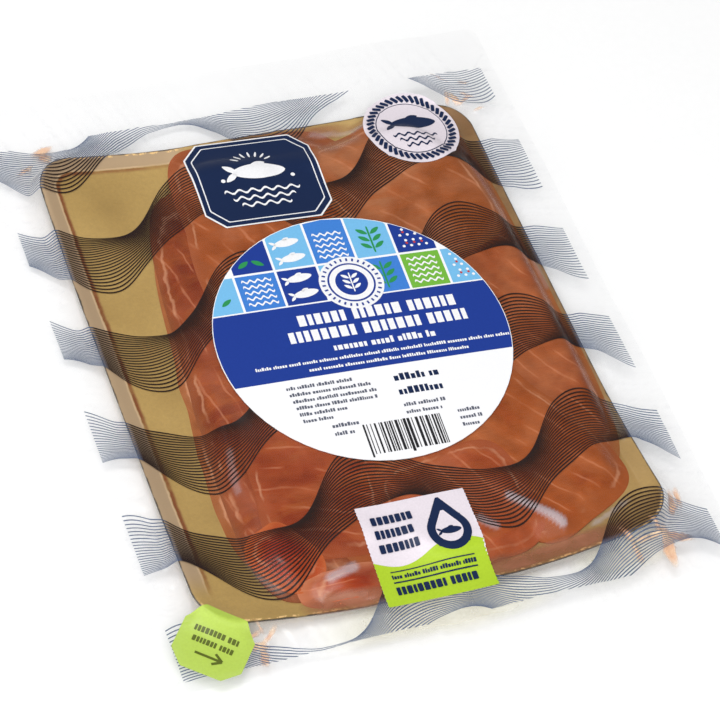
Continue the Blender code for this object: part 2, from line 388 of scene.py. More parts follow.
# creases in the film: start x, start y, end x, end y, half width, height, and how milky it is (a painted
# highlight, partly real whitening)
creases = [
    (29, -78, 45, -94, 1.9, 0.60, 0.85), (16, -84, 22, -90, 1.7, 0.50, 0.6),
    (-40, -93.4, -28, -91.5, 2.0, 0.50, 0.7), (-54, -38, -57, -56, 1.4, 0.30, 0.25),
    (79, 2, 80, 18, 1.3, 0.30, 0.2), (20, 89, 44, 87, 1.2, 0.30, 0.3),
    (54, -95, 70, -90, 1.0, 0.25, 0.4), (80, -48, 79, -66, 1.2, 0.30, 0.3),
]
# where a printed mark keeps the film calm and taut: x, y, radius, and how flat it holds it
calmSpots = [(-6.5, 70.5, 30, 0.5), (57.5, 82, 21, 0.75), (-3.8, -90.3, 27, 0.25), (-82, -106.5, 13, 0.0)]
bagTree = treeOf(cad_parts["bag"])


def pouchSheet(name):
    width, whole = bagHigh.x - bagLow.x, bagHigh.y - bagLow.y
    length = whole - card["bow"]
    middle = (0, bagHigh.y - length / 2)
    return bowedSheet(name, pouch["spacing"], middle, (width, length), pouch["corner"], 8)


def layOnBag(piece, rounds, fromAbove=True):
    points = readPoints(piece)
    x, y = points[:, 0] * pouch["edgeShare"], points[:, 1] * pouch["edgeShare"]
    points[:, 2] = heightsOn(bagTree, x, y, fromAbove)
    writePoints(piece, points)
    return smoothHeights(piece, rounds)


def creaseShape(x, y):
    # how far the creases lift the film, and how milky they make it: partly whitening, partly a painted
    # highlight
    rise, milkyGlint = np.zeros(len(x)), np.zeros(len(x))
    for startX, startY, endX, endY, width, height, pale in creases:
        dx, dy = (endX - startX) * mm, (endY - startY) * mm
        length = math.hypot(dx, dy)
        along = ((x - startX * mm) * dx + (y - startY * mm) * dy) / length
        across = ((x - startX * mm) * dy - (y - startY * mm) * dx) / length
        wander = 0.3 * mm * np.sin(along / (4 * mm) + startX)
        end = pouch["creaseEnd"]
        fade = ease(along, -end, 2 * end) * ease(length - along, -end, 2 * end)
        ridge = fade * np.exp(-(((across + wander) / (width * mm)) ** 2))
        rise += height * mm * ridge
        milkyGlint = np.maximum(milkyGlint, pale * ease(ridge, 0.25, 0.5))
    return rise, milkyGlint


def flangeWrinkles(x, y):
    # tension wrinkles that run out from the card's edge and die away, stronger near the corners
    out = np.maximum(-cardDepth(x, y), 0)
    across, up = (x - card["x"]) / card["width"] * 2, (y - card["y"]) / card["length"] * 2
    beside = abs(across) > abs(up)
    around = np.where(beside, y, x) + 0.3 * np.where(beside, x, y)
    wave = sum(np.sin(2 * math.pi * around / (pouch["wrinkleSpacing"] * share) + phase) / weaker
               for share, phase, weaker in wrinkleWaves)
    corner = 0.45 + 0.9 * ease(abs(across) * abs(up))
    strength = ease(out, 0, pouch["wrinkleFade"]) * np.exp(-out / pouch["wrinkleReach"])
    for spotX, spotY, radius, _ in calmSpots:
        away = np.hypot(x - spotX * mm, y - spotY * mm)
        strength = strength * ease(away, radius * mm, pouch["wrinkleClear"])
    return pouch["wrinkle"] * wave * strength * corner


def filmMaterial():
    # clear film: see-through, a mirror towards grazing, a faint haze, painted grey shade where its wrinkles
    # are steep, and milky streaks on its creases that are partly whitening and partly a painted highlight
    material, shader = newMaterial("clearFilm", pouch["hazeAndPaintedLight"], 0.5)
    place = objectPlace(shader)
    rippled = noiseAt(place, pouch["ripple"], 2, 0.5, 0.6)
    bumped = addBump(shader, rippled, 0.20 * mm, 0.15)
    facing = addNode(shader, "ShaderNodeLayerWeight", {"Blend": 0.5, "Normal": bumped}).outputs["Facing"]
    grazing = product(mathOf("POWER", facing, 5.0), 1 - pouch["mirror"])
    mirrored = mathOf("ADD", grazing, pouch["mirror"])
    wisps = rampOf(noiseAt(place, pouch["wisp"], 5, 0.6, 1.2), (0.45, 0.0), (0.7, 1.0))
    # painted shade: a grey veil where the wrinkles are steep, broken up into wisps
    folded = product(noteOf(shader, "fold"), mathOf("ADD", wisps, pouch["wispLeast"]), pouch["foldVeil"])
    # painted highlight: a milky streak along each crease, partly the film's whitening there
    paintedCreaseGlint = product(noteOf(shader, "crease"), pouch["creaseGlintShare"])
    hazeAndPaintedLight = mathOf("ADD", mathOf("ADD", folded, pouch["thinVeil"]), paintedCreaseGlint)
    clear = addNode(shader, "ShaderNodeBsdfTransparent", {"Color": (1, 1, 1, 1)})
    mirror = addNode(shader, "ShaderNodeBsdfGlossy", {
        "Color": (1, 1, 1, 1), "Roughness": pouch["gloss"], "Normal": bumped})
    whole = clear.outputs[0]
    for share, layer in ((hazeAndPaintedLight, shader), (mirrored, mirror)):
        layers = {"Fac": share, 1: whole, 2: layer.outputs[0]}
        whole = addNode(shader, "ShaderNodeMixShader", layers).outputs[0]
    linkTo(whole, material.node_tree.nodes["Material Output"], "Surface")
    return material


def makeFilm():
    film = pouchSheet("film")
    flat = readPoints(film)
    x, y = flat[:, 0], flat[:, 1]
    depth = cardDepth(x, y)
    top = layOnBag(film, pouch["smoothing"])
    top += ease(depth, *pouch["overFish"]) * (smoothHeights(film, pouch["fishSmoothing"]) - top)
    fromLabel = np.hypot(x - labelMiddle.x, y - labelMiddle.y) - (labelHigh.x - labelLow.x) / 2
    besideLabel = ease(fromLabel, 0, pouch["labelFade"])
    # a printed mark keeps the film taut, so that it spans the hollows and the card's edge below it
    lowest = top - pouch["calmDip"]
    points = readPoints(film)
    for _ in range(pouch["calmRounds"]):
        points[:, 2] = np.maximum(smoothHeights(film, pouch["calmSmoothing"]), lowest)
        writePoints(film, points)
    spanned, taut = smoothHeights(film, pouch["lastSmoothing"]), np.zeros(len(x))
    terms = np.column_stack([x, y, np.ones(len(x))])
    for spotX, spotY, radius, flatness in calmSpots:
        away = np.hypot(x - spotX * mm, y - spotY * mm)
        near = away < radius * mm
        plane = terms @ np.linalg.lstsq(terms[near], spanned[near], rcond=None)[0]
        hold = ease((radius + 3) * mm - away, 0, pouch["calmFade"])
        spanned = np.maximum(spanned + hold * flatness * (plane - spanned), lowest)
        taut = np.maximum(taut, hold)
    top += taut * besideLabel * (spanned - top)
    rise, milkyGlint = creaseShape(x, y)
    top += rise * besideLabel + flangeWrinkles(x, y)
    held = fromLabel < 0
    top[held] = np.minimum(top[held], heightsOn(bagTree, x[held], y[held]) + pouch["underLabel"])
    lower = pouchSheet("lowerFilm")
    base = np.maximum(layOnBag(lower, pouch["underSmoothing"], fromAbove=False), 0.0)
    bpy.data.objects.remove(lower, do_unlink=True)
    base += ease(-depth, 0, pouch["foot"]) * (top - pouch["filmGap"] - base)
    # how steep the wrinkles are, which sets where shade is painted on the film
    nudge = 0.5 * mm
    slope = np.hypot(flangeWrinkles(x + nudge, y) - flangeWrinkles(x, y),
                     flangeWrinkles(x, y + nudge) - flangeWrinkles(x, y)) / nudge
    makeSolid(film, top, base, fold=np.clip(slope * 5, 0, 1))
    # the creases' milky streaks, partly a painted highlight
    writeNote(film, "crease", np.append(milkyGlint, np.zeros(len(milkyGlint))))
    film.data.materials.append(filmMaterial())
    return film


film = makeFilm()
filmTree = treeOf(film)
print("film", len(film.data.polygons), "faces")


def goldMaterial():
    material, shader = newMaterial("goldCard", card["gold"], 0.42, Metallic=0.3)
    place = objectPlace(shader)
    grain = noiseAt(place, card["grain"], 4, 0.65, 0.6)
    cloudy = noiseAt(place, card["cloud"], 2)
    base = rampOf(cloudy, (0.35, card["dark"]), (0.5, card["gold"]), (0.65, card["light"]))
    colour = shaded(1.0, base, grain, (0.3, 0.92), (0.7, 1.05))
    # on the bent-up left side the rim is painted paler, as the film's reflection over it, with a painted
    # highlight line beside its crease, which has cracked to amber; the cut edge is dark
    inward = inwardFrom(noiseAt(place, card["rag"], 3, 0.6), card["ragged"])
    bent = noteOf(shader, "bent")
    worn = rampOf(noiseAt(place, card["wear"], 3, 0.6), (0.35, 0.5), (0.55, 1.0))
    # painted reflection on the bent rim, and a painted highlight line beside the crease
    rim = rampOf(inward, (0.60, 0.8), (0.66, 0.0))
    crease = rampOf(inward, (0.63, 0.0), (0.66, 1.0), (0.73, 1.0), (0.82, 0.0))
    lit = rampOf(inward, (0.55, 0.0), (0.58, 1.0), (0.61, 1.0), (0.64, 0.0))
    cut = rampOf(inward, (0.065, 1.0), (0.105, 0.0))
    # where the fish reaches the right edge its oil has stained the foil
    patchy = rampOf(noiseAt(place, card["blotch"], 3, 0.6), (0.3, 0.75), (0.6, 1.0))
    # painted highlights: broken glints along the lower edge and the top left
    sparks = rampOf(noiseAt(place, card["spark"], 3, 0.6), (0.50, 0.0), (0.56, 1.0))
    nearEdge = rampOf(inward, (0.09, 0.0), (0.11, 1.0), (0.15, 1.0), (0.18, 0.0))
    for tone, share in (
            ("paintedRimSheen", product(rim, bent)), ("amber", product(crease, worn, bent, 0.95)),
            ("lit", product(lit, worn, bent, 0.7)), ("stain", product(noteOf(shader, "stained"), patchy)),
            ("cutEdge", cut), ("glint", product(sparks, nearEdge, noteOf(shader, "low")))):
        colour = mixOf(share, colour, card[tone])
    linkTo(colour, shader, "Base Color")
    linkTo(rampOf(cloudy, (0.3, 0.38), (0.8, 0.46)), shader, "Roughness")
    addBump(shader, grain, 0.04 * mm, 0.5)
    return material


def makeCard():
    piece = bowedSheet("goldCard", card["spacing"], (card["x"], card["y"]), (card["width"], card["length"]),
                       card["corner"], 5)
    x, y = readPoints(piece)[:, :2].T
    depth = cardDepth(x, y)
    nearX, nearY = (card[axis] + (value - card[axis]) * card["inset"] for axis, value in (("x", x), ("y", y)))
    under = heightsOn(filmTree, nearX, nearY, fromAbove=False)
    over = heightsOn(filmTree, nearX, nearY)
    rise = card["rimRise"] * (1 - np.clip(depth / card["rim"], 0, 1))
    top = np.minimum(under + card["top"] + rise, over - card["underFilm"])
    topLeft = ease(y, *card["bentTop"]) * ease(-x, *card["besideTop"])
    bent = np.maximum(0.12 + 0.88 * ease(-x, *card["bentLeft"]), topLeft) * (1 - ease(-y, *card["flatBelow"]))
    oilyRight = ease(x, *card["oilyRight"]) * (0.32 + 0.63 * ease(y, *card["oilierUp"]))
    oilyBelow = ease(-y, *card["oilyBelow"]) * ease(x, *card["oilyBeside"]) * 0.6
    # where glints are painted as highlights: along the lower edge and at the top left
    low = np.maximum(ease(-y, *card["glintsBelow"]), topLeft)
    makeSolid(piece, top, np.maximum(top - card["thickness"], under + card["overFilm"]),
              inward=depth, bent=bent, low=low, stained=np.maximum(oilyRight, oilyBelow))
    piece.data.materials.append(goldMaterial())
    return piece


goldCard = makeCard()
cardTree = treeOf(goldCard)
print("card", len(goldCard.data.polygons), "faces")

# slices from the lowest to the highest: middle, length, width and turn, as in the solid; the lowest is
# a thin skin that shows past the left slice
slices = {
    "leftSkin": (-37, -17, 152, 48, -5.5), "left": (-34.5, -14, 174, 48, -4.5),
    "middle": (0, -4.5, 191, 74, 0), "upperLeft": (-20, 49, 82, 40, -5),
    "right": (53, 4, 168, 54, 1), "upperRight": (44, 54, 68, 56, 14), "lowerLeft": (-31, -56, 62, 42, -8),
    "lump": (-50, -83, 26, 19, 30), "foldedEnd": (-32, -97, 13, 36, 2), "lowerRight": (40, -60, 74, 50, 30),
    "lowerMiddle": (13, -78, 44, 50, 6),
}
sliceShape = {
    "spacing": 0.95 * mm, "settle": 1.5, "power": 4.5, "wobble": 0.035, "smoothing": 5,
    "small": 30, "smallPower": 2.8, "skinWobble": 0.085,
    "underFilm": 0.16 * mm, "overCard": 0.05 * mm, "proud": 0.05 * mm, "thinnest": 0.1 * mm,
    "edge": 0.22 * mm, "step": 1.2 * mm, "stepEdge": 4.5 * mm, "rest": 3 * mm,
    "roughness": 0.45, "shine": 0.12, "streak": 0.42, "share": 0.92, "haze": 0.013, "darkest": 0.004,
    "broad": 22 * mm, "smoke": 15 * mm, "mottle": 6 * mm, "fibre": 3 * mm, "patch": 12 * mm,
    "groove": 7 * mm, "rag": 6 * mm, "ragged": 3 * mm,
    "fat": linear(232, 160, 120), "brown": linear(160, 82, 34), "membrane": linear(216, 160, 124),
}
# how each slice looks: its flesh, darker and lighter parts, edge, grain direction and flake width in mm
fishLooks = {
    "leftSkin": ((148, 84, 46), (128, 68, 36), (172, 110, 74), (168, 104, 64), 84, 5),
    "left": ((143, 69, 43), (128, 56, 32), (157, 83, 56), (138, 82, 52), 80, 6.5),
    "middle": ((164, 88, 50), (150, 72, 34), (176, 102, 66), (156, 90, 56), 20, 9),
    "upperLeft": ((166, 90, 52), (152, 76, 34), (178, 104, 68), (164, 92, 60), 62, 9),
    "right": ((158, 84, 50), (144, 72, 36), (170, 98, 62), (150, 96, 56), 58, 7),
    "upperRight": ((166, 98, 62), (150, 82, 44), (178, 113, 76), (158, 96, 58), 48, 10),
    "lowerLeft": ((158, 75, 44), (144, 62, 33), (170, 90, 59), (154, 79, 48), 16, 8),
    "lump": ((168, 60, 24), (148, 50, 19), (182, 80, 40), (190, 100, 56), 30, 5),
    "foldedEnd": ((168, 68, 34), (148, 56, 26), (184, 92, 54), (196, 124, 90), 4, 4),
    "lowerRight": ((160, 82, 42), (146, 68, 30), (174, 98, 58), (156, 84, 46), 52, 7),
    "lowerMiddle": ((166, 83, 50), (152, 69, 36), (178, 98, 66), (158, 82, 50), 62, 8),
}


def fishMaterial(name):
    *tones, grain, flake = fishLooks[name]
    # the film adds a little light over the flesh, and that much is left out of its colours
    tones = [linear(*tone, sliceShape["share"]) for tone in tones]
    flesh, deep, light, rim = (tuple(max(c - sliceShape["haze"], sliceShape["darkest"]) for c in tone)
                               for tone in tones)
    material, shader = newMaterial("fish_" + name, flesh, sliceShape["roughness"],
                                   Specular_IOR_Level=sliceShape["shine"])
    place = objectPlace(shader)
    broad = noiseAt(place, sliceShape["broad"], 3, 0.5, 0.6)
    base = rampOf(broad, (0.36, deep), (0.50, flesh), (0.64, light))
    # smoke has browned some parts more than others
    smoked = noiseAt(objectPlace(shader, grain, (0.6, 1.4, 1)), sliceShape["smoke"], 4, 0.6, 1.0)
    base = mixOf(rampOf(smoked, (0.48, 0.0), (0.66, 0.6)), base, sliceShape["brown"])
    mottle = noiseAt(place, sliceShape["mottle"], 4, 0.55, 0.5)
    base = shaded(0.7, base, mottle, (0.3, 0.86), (0.7, 1.10))
    fibre = noiseAt(objectPlace(shader, grain, (1, 5, 1)), sliceShape["fibre"], 4, 0.6, 0.4)
    base = shaded(0.6, base, fibre, (0.3, 0.86), (0.7, 1.10))
    # thin pale seams between the flakes of muscle, broken up into short streaks
    bandStep = 0.314  # how far apart the bands of a wave texture are at scale 1
    wave = addNode(shader, "ShaderNodeTexWave", {
        "Vector": objectPlace(shader, grain), "Scale": bandStep / (flake * mm), "Distortion": 3.6,
        "Detail": 3.0, "Detail Scale": 0.8, "Detail Roughness": 0.6,
    }, wave_type="BANDS", bands_direction="Y").outputs["Fac"]
    base = shaded(0.8, base, wave, (0.1, 0.93), (0.9, 1.05))
    seam = rampOf(wave, (0.95, 0.0), (0.997, 1.0))
    patch = rampOf(noiseAt(place, sliceShape["patch"], 2), (0.44, 0.0), (0.60, 1.0))
    streak = product(seam, patch, sliceShape["streak"])
    base = mixOf(streak, base, tuple((a + b) / 2 for a, b in zip(light, sliceShape["fat"])))
    # the edge in its own tone, with a broken line of membrane just inside it
    inward = inwardFrom(noiseAt(place, sliceShape["rag"], 3), sliceShape["ragged"])
    base = mixOf(rampOf(inward, (0.15, 0.85), (0.30, 0.45), (0.62, 0.0)), base, rim)
    skin = rampOf(inward, (0.38, 0.0), (0.42, 0.4), (0.45, 0.4), (0.50, 0.0))
    base = mixOf(product(skin, patch), base, sliceShape["membrane"])
    linkTo(base, shader, "Base Color")
    linkTo(rampOf(mottle, (0.2, 0.38), (0.8, 0.52)), shader, "Roughness")
    grooves = noiseAt(objectPlace(shader, grain, (1, 3, 1)), sliceShape["groove"], 1, 0.4, 0.4)
    addBump(shader, grooves, 0.25 * mm, 0.35)
    return material


def sliceCover(x, y, values):
    # how far a slice in from its edge keeps what lies under it below the film, and how far in the place is
    middleX, middleY, length, width, turn = values
    across, along = turned(x - middleX * mm, y - middleY * mm, -turn, (0, 0))
    across, along = abs(across) / (width * mm / 2), abs(along) / (length * mm / 2)
    power = sliceShape["power"]
    depth = (1 - (along**power + across**power) ** (1 / power)) * min(width, length) * mm / 2
    return sliceShape["step"] * ease(depth, 0, sliceShape["stepEdge"]), depth


def makeSlice(level, name):
    middleX, middleY, length, width, turn = slices[name]
    size = (width * mm, length * mm)
    small = length < sliceShape["small"]
    power = sliceShape["smallPower"] if small else sliceShape["power"]
    wobble = sliceShape["skinWobble"] if level == 0 or small else sliceShape["wobble"]
    piece = shapeSheet("slice_" + name, sliceShape["spacing"], (middleX * mm, middleY * mm), size,
                       looseReach(*size, power, wobble, level + 3), turn, sliceShape["settle"])
    points = readPoints(piece)
    x, y = points[:, 0], points[:, 1]
    ceiling = heightsOn(filmTree, x, y) - sliceShape["underFilm"]
    floor = heightsOn(cardTree, x, y) + sliceShape["overCard"]
    covers = [sliceCover(x, y, values) for values in slices.values()]
    above = sum((cover for cover, _ in covers[level + 1:]), np.zeros(len(x)))
    below = [depth for _, depth in covers[:level]]
    resting = ease(np.max(below, axis=0), 0, sliceShape["rest"]) if below else np.zeros(len(x))
    points[:, 2] = np.minimum(np.maximum(ceiling - above, floor + sliceShape["edge"]), ceiling)
    writePoints(piece, points)
    top = np.minimum(smoothHeights(piece, sliceShape["smoothing"]), ceiling + sliceShape["proud"])
    own = covers[level][0] + sliceShape["edge"]
    base = np.minimum(floor + resting * (top - own - floor), top - sliceShape["thinnest"])
    makeSolid(piece, top, base)
    piece.data.materials.append(fishMaterial(name))
    finishPiece(piece, "fish", "bag")


for level, name in enumerate(slices):
    makeSlice(level, name)
finishPiece(film, "film", "bag")
finishPiece(goldCard, "card", "bag")
print("slices", len(slices))


inkShare = 0.88  # inks are given as they look in bright light, and are this much darker in themselves


def inkMaterial(name, colour, roughness=0.35, grain=0.05, overCard=None, alpha=1.0):
    # printing ink with a little grain; overCard is the colour it takes on where fish or card lies behind
    tone = linear(*colour, inkShare)
    material, shader = newMaterial(name, tone, roughness, Alpha=alpha, Specular_IOR_Level=0.3)
    speck = noiseAt(objectPlace(shader), 0.7 * mm, 2, 0.6)
    darker, lighter = (tuple(min(1, c * share) for c in tone) for share in (1 - grain, 1 + grain))
    base = rampOf(speck, (0.25, darker), (0.75, lighter))
    if overCard:
        base = mixOf(noteOf(shader, "backing"), base, linear(*overCard, inkShare))
    linkTo(base, shader, "Base Color")
    dull = rampOf(speck, (0.2, roughness * 0.85), (0.8, roughness * 1.15))
    linkTo(dull, shader, "Roughness")
    addBump(shader, speck, 0.02 * mm, 0.25)
    return material


def stick(piece, tree, lift, ink, place=None):
    # lays a flat printed piece on a surface; place turns the print's own x and y into the pack's
    points = readPoints(piece)
    if place:
        points[:, 0], points[:, 1] = place(points[:, 0], points[:, 1])
    points[:, 2] = heightsOn(tree, points[:, 0], points[:, 1]) + lift
    writePoints(piece, points)
    piece.data.materials.append(ink)
    return piece


def printShapes(tree, lift, ink, shapes, place=None, cells=(6, 6)):
    # one patch copied for each shape: x, y, width, length, turn and roundness (2 round, 1 a diamond,
    # 30 square), then how far it swings and how many times, if it is a wave
    piece = addGrid("print", *cells)
    unit = readPoints(piece)[:, :2]
    repeat(piece, len(shapes), (4, 0, 0))
    out = np.maximum(abs(unit[:, 0]), abs(unit[:, 1]))
    edge = abs(unit) / np.maximum(out, 1e-9)[:, None]
    points = np.zeros((len(shapes), len(unit), 3))
    for k, shape in enumerate(shapes):
        x, y, width, length, turn, power, swing, times = (*shape, 0, 0)[:8]
        squeeze = 1 + (((edge**power).sum(axis=1)) ** (1 / power) - 1) * out
        u = unit[:, 0] * width / 2 / squeeze
        v = unit[:, 1] * length / 2 / squeeze + swing * np.sin(2 * math.pi * times * unit[:, 0])
        points[k, :, 0], points[k, :, 1] = turned(u, v, turn, (x, y))
    writePoints(piece, points.reshape(-1, 3) * mm)
    return stick(piece, tree, lift, ink, place)


def printGroups(tree, lift, place, groups):
    # groups of shapes in one layer: ink, shapes and the cells of a patch
    return [printShapes(tree, lift, inks[ink], shapes, place, cells) for ink, shapes, cells in groups]


def printField(tree, lift, ink, middle, size, reach, place=None, spacing=0.8):
    # one larger field of colour, in mm
    middle, size = (tuple(side * mm for side in pair) for pair in (middle, size))
    return stick(shapeSheet("field", spacing * mm, middle, size, reach), tree, lift, ink, place)


def finishPrint(name, pieces):
    finishPiece(joinPieces(name, pieces), "ink")


def fishShapes(x, y, length, turn=0.0):
    # a plain fish: a body, a tail of two fins and a back fin
    parts = [(0, 0, 1.0, 0.36, 0, 1.7), (-0.52, 0.09, 0.30, 0.12, -38, 1.5),
             (-0.52, -0.09, 0.30, 0.12, 38, 1.5), (0.02, 0.17, 0.30, 0.13, 12, 1.5)]
    return [(*turned(u * length, v * length, turn, (x, y)), width * length, high * length, turn + tilt, power)
            for u, v, width, high, tilt, power in parts]


def waveShapes(y, step, length, shorter, swing, times):
    # three waves, each below the last, shorter and with fewer crests
    return [(0, y - step * k, length - shorter * k, 0.9, 0, 20, swing, times - 0.5 * k) for k in range(3)]


def ringShapes(x, y, radius, count, width, length, lean, power):
    # strokes set around a circle
    angles = [2 * math.pi * k / count for k in range(count)]
    return [(x + radius * math.cos(angle), y + radius * math.sin(angle), width, length,
             math.degrees(angle) + lean, power) for angle in angles]


# the blocks of a row, as shares of its height: the least and greatest width, the heights, and the gaps
# between blocks and between words
blockShape = {"widths": (0.34, 0.62), "heights": (1.0, 0.72, 0.72), "gap": 0.14, "wordGap": 0.55}


def blockLine(x, y, length, height, draw, even=False):
    # a row of small blocks that stands for a line of lettering, with no letters in it
    blocks, here, left = [], x, draw.randint(4, 9)
    while here < x + length - height * 0.4:
        wide = height * draw.uniform(*blockShape["widths"])
        tall = height if even else height * draw.choice(blockShape["heights"])
        blocks.append((here + wide / 2, y - (height - tall) / 2, wide, tall, 0, 12))
        left -= 1
        here += wide + height * (blockShape["gap"] if left else blockShape["wordGap"])
        left = left or draw.randint(5, 10)
    return blocks


inkColours = {
    "navy": (10, 34, 74), "blue": (24, 58, 150), "white": (252, 252, 254), "paleBlue": (122, 194, 240),
    "midBlue": (64, 132, 218), "green": (44, 150, 84), "lime": (178, 210, 46), "grass": (120, 188, 64),
    "pink": (214, 48, 116), "red": (204, 64, 52), "black": (32, 32, 36), "grey": (92, 96, 112),
    "veiledWhite": (242, 232, 240), "veiledLime": (190, 218, 88), "olive": (92, 104, 30),
}
inkCover = {"veiledWhite": 0.95, "veiledLime": 0.92}  # the others cover fully
inks = {name: inkMaterial(name + "Ink", colour, alpha=inkCover.get(name, 1.0))
        for name, colour in inkColours.items()}

# bands of fine wavy lines printed over the whole film; skew crowds the lines to one side and back
lines = {
    "rows": 6, "pitch": 44, "lines": 22, "spacing": 1.12, "width": 0.46, "lift": 0.08 * mm, "span": 204,
    "step": 0.9, "middleY": -4, "wave": 11, "period": 82, "pinch": 0.38, "skew": 0.34, "slope": 0.06,
    "phase": 2.1, "rowPhase": 0.4, "pinchPhase": 0.8, "skewPhase": 0.9, "thinnest": 0.45,
    "marginShare": 0.72, "marginFade": 1.5 * mm, "left": -95, "right": 95, "top": 106, "bottom": -117,
    "ink": (78, 96, 126), "overCard": (42, 26, 22),
}


def printLines():
    piece = addGrid("printedLines", round(lines["span"] / lines["step"]), 1)
    unit = readPoints(piece)[:, :2]
    count = lines["lines"] * lines["rows"]
    repeat(piece, count, (0, 4, 0))
    points = np.zeros((count, len(unit), 3))
    x = unit[:, 0] * lines["span"] / 2
    half = (lines["lines"] - 1) / 2
    for number in range(count):
        row, line = divmod(number, lines["lines"])
        share = (line - half) / half
        swing = 2 * math.pi * x / lines["period"] + lines["phase"] + lines["rowPhase"] * row
        pinch = 1 - lines["pinch"] * (0.5 + 0.5 * np.cos(swing * 2 + lines["pinchPhase"])) ** 1.5
        lean = lines["skew"] * np.cos(swing + lines["skewPhase"])
        crowding = pinch * (1 - 2 * lean * share)
        steep = 2 * math.pi * lines["wave"] / lines["period"] * np.cos(swing) + lines["slope"]
        middle = lines["middleY"] + (row - (lines["rows"] - 1) / 2) * lines["pitch"]
        offset = half * lines["spacing"] * pinch * (share + lean * (1 - share**2))
        y = middle + lines["wave"] * np.sin(swing) + lines["slope"] * x + offset
        onMargin = 1 - ease(cardDepth(x * mm, y * mm), 0, lines["marginFade"])
        thickness = lines["thinnest"] + (1 - lines["thinnest"]) * crowding
        width = lines["width"] * thickness * (1 - onMargin * (1 - lines["marginShare"]))
        points[number, :, 0] = x
        points[number, :, 1] = y + unit[:, 1] * width / 2 * np.sqrt(1 + steep**2)
    writePoints(piece, points.reshape(-1, 3) * mm)
    outwards = {"left": (-1, 0, 0), "right": (1, 0, 0), "top": (0, 1, 0), "bottom": (0, -1, 0)}
    for side, normal in outwards.items():
        edge = lines[side] * mm
        editAll(piece, bpy.ops.mesh.bisect, plane_co=(edge, edge, 0), plane_no=normal, clear_outer=True)
    lineInk = inkMaterial("lineInk", lines["ink"], 0.3, 0.1, overCard=lines["overCard"])
    stick(piece, filmTree, lines["lift"], lineInk)
    points = readPoints(piece)
    writeNote(piece, "backing", ease(cardDepth(points[:, 0], points[:, 1]), 0, lines["marginFade"]))
    finishPiece(piece, "ink")


printLines()
print("printed lines")

# a mark's ground lies on the film, and its further layers lie on that ground
groundLift = 0.12 * mm
layers = [0.07 * mm * k for k in range(5)]
groundSpacing = 0.6


def makeGround(ink, size, reach, place):
    # the ground itself, in a list for the fields to come, and its surface
    ground = printField(filmTree, groundLift, inks[ink], (0, 0), size, reach, place, groundSpacing)
    return [ground], treeOf(ground)


# the plaque at the top: a navy octagon with a white fish over waves
plaque = {"x": -6.5, "y": 70.5, "width": 47, "height": 42, "cut": 0.86, "turn": -3.0,
          "rim": 0.55, "frame": 2.2, "inner": 2.6, "rays": 7, "firstRay": 30, "rayStep": 20}


def placeAt(item):
    # turns a mark's own x and y into the pack's
    return lambda x, y: turned(x, y, item["turn"], (item["x"] * mm, item["y"] * mm))


def boxSides(width, height):
    across, up = width / 2 * mm, height / 2 * mm
    return [(0, across), (90, up), (180, across), (270, up)]


def octagonReach(width, height, cut):
    slant = math.hypot(width / 2 * mm, height / 2 * mm) * cut
    lean = math.degrees(math.atan2(height, width))
    slants = [(direction, slant) for direction in (lean, 180 - lean, 180 + lean, -lean)]
    return sidesReach(boxSides(width, height) + slants)


def makePlaque():
    place = placeAt(plaque)
    size = (plaque["width"], plaque["height"])
    fields, ground = makeGround("white", size, octagonReach(*size, plaque["cut"]), place)
    for layer, ink, edge in ((1, "navy", "rim"), (2, "white", "frame"), (3, "navy", "inner")):
        size = (plaque["width"] - 2 * plaque[edge], plaque["height"] - 2 * plaque[edge])
        reach = octagonReach(*size, plaque["cut"])
        fields.append(printField(ground, layers[layer], inks[ink], (0, 0), size, reach, place))
    waves = waveShapes(-5.5, 3.2, 29, 5, 0.8, 3)
    dots = [(x, 0.0, 1.6, 1.6, 0, 2) for x in (-13, 13)]
    angles = [math.radians(plaque["firstRay"] + plaque["rayStep"] * k) for k in range(plaque["rays"])]
    rays = [(7.2 * math.cos(angle), 7.0 + 5.4 * math.sin(angle), 0.8, 3.2, math.degrees(angle) - 90, 2)
            for angle in angles]
    fish = fishShapes(1.0, 3.0, 20) + dots + rays
    fields += printGroups(ground, layers[4], place, [("white", fish, (20, 10)), ("white", waves, (36, 1))])
    finishPrint("plaquePrint", fields)


# the round stamp at the top right: a white disc, a ring of slanted strokes and a leaping fish
stamp = {"x": 57.5, "y": 82, "radius": 18, "turn": -4.0, "strokes": 44, "strokeRadius": 15.3,
         "ringRadius": 13.4, "innerRadius": 13.05}


def discReach(radius):
    return lambda angle: np.full(len(angle), radius * mm)


def makeStamp():
    place = placeAt(stamp)
    radius = stamp["radius"]
    fields, ground = makeGround("veiledWhite", (2 * radius,) * 2, discReach(radius), place)
    for layer, ink, inner in ((1, "navy", stamp["ringRadius"]), (2, "veiledWhite", stamp["innerRadius"])):
        fields.append(printField(ground, layers[layer], inks[ink], (0, 0), (2 * inner,) * 2,
                                 discReach(inner), place))
    strokes = ringShapes(0, 0, stamp["strokeRadius"], stamp["strokes"], 3.3, 1.35, 36, 8)
    waves = waveShapes(-4.0, 2.6, 18, 4, 0.7, 2.5)
    fields += printGroups(ground, layers[3], place, [
        ("navy", strokes, (4, 2)), ("navy", fishShapes(1.4, 3.0, 18, 2), (18, 8)), ("navy", waves, (24, 1))])
    finishPrint("stampPrint", fields)


# the square sticker at the bottom: white over lime, with a navy drop and rows of blocks
sticker = {
    "x": -3.8, "y": -90.3, "width": 38.5, "height": 36.5, "turn": -1.5, "tooth": 1.5, "bite": 0.35,
    "toothDepth": 1.2, "limeTop": -2.0, "limeWave": 2.6, "dropX": 9.0, "dropY": 3.6, "dropRadius": 7.4,
    "dropHeight": 1.85,
}


def dropReach(radius, height):
    # a drop: a disc with two straight sides that run up to a point
    lean = math.acos(radius / height)

    def reach(angle):
        fromUp = abs((angle + math.pi / 2) % (2 * math.pi) - math.pi)
        return np.where(fromUp < lean, radius / np.cos(np.minimum(fromUp, lean) - lean), radius) * mm

    return reach


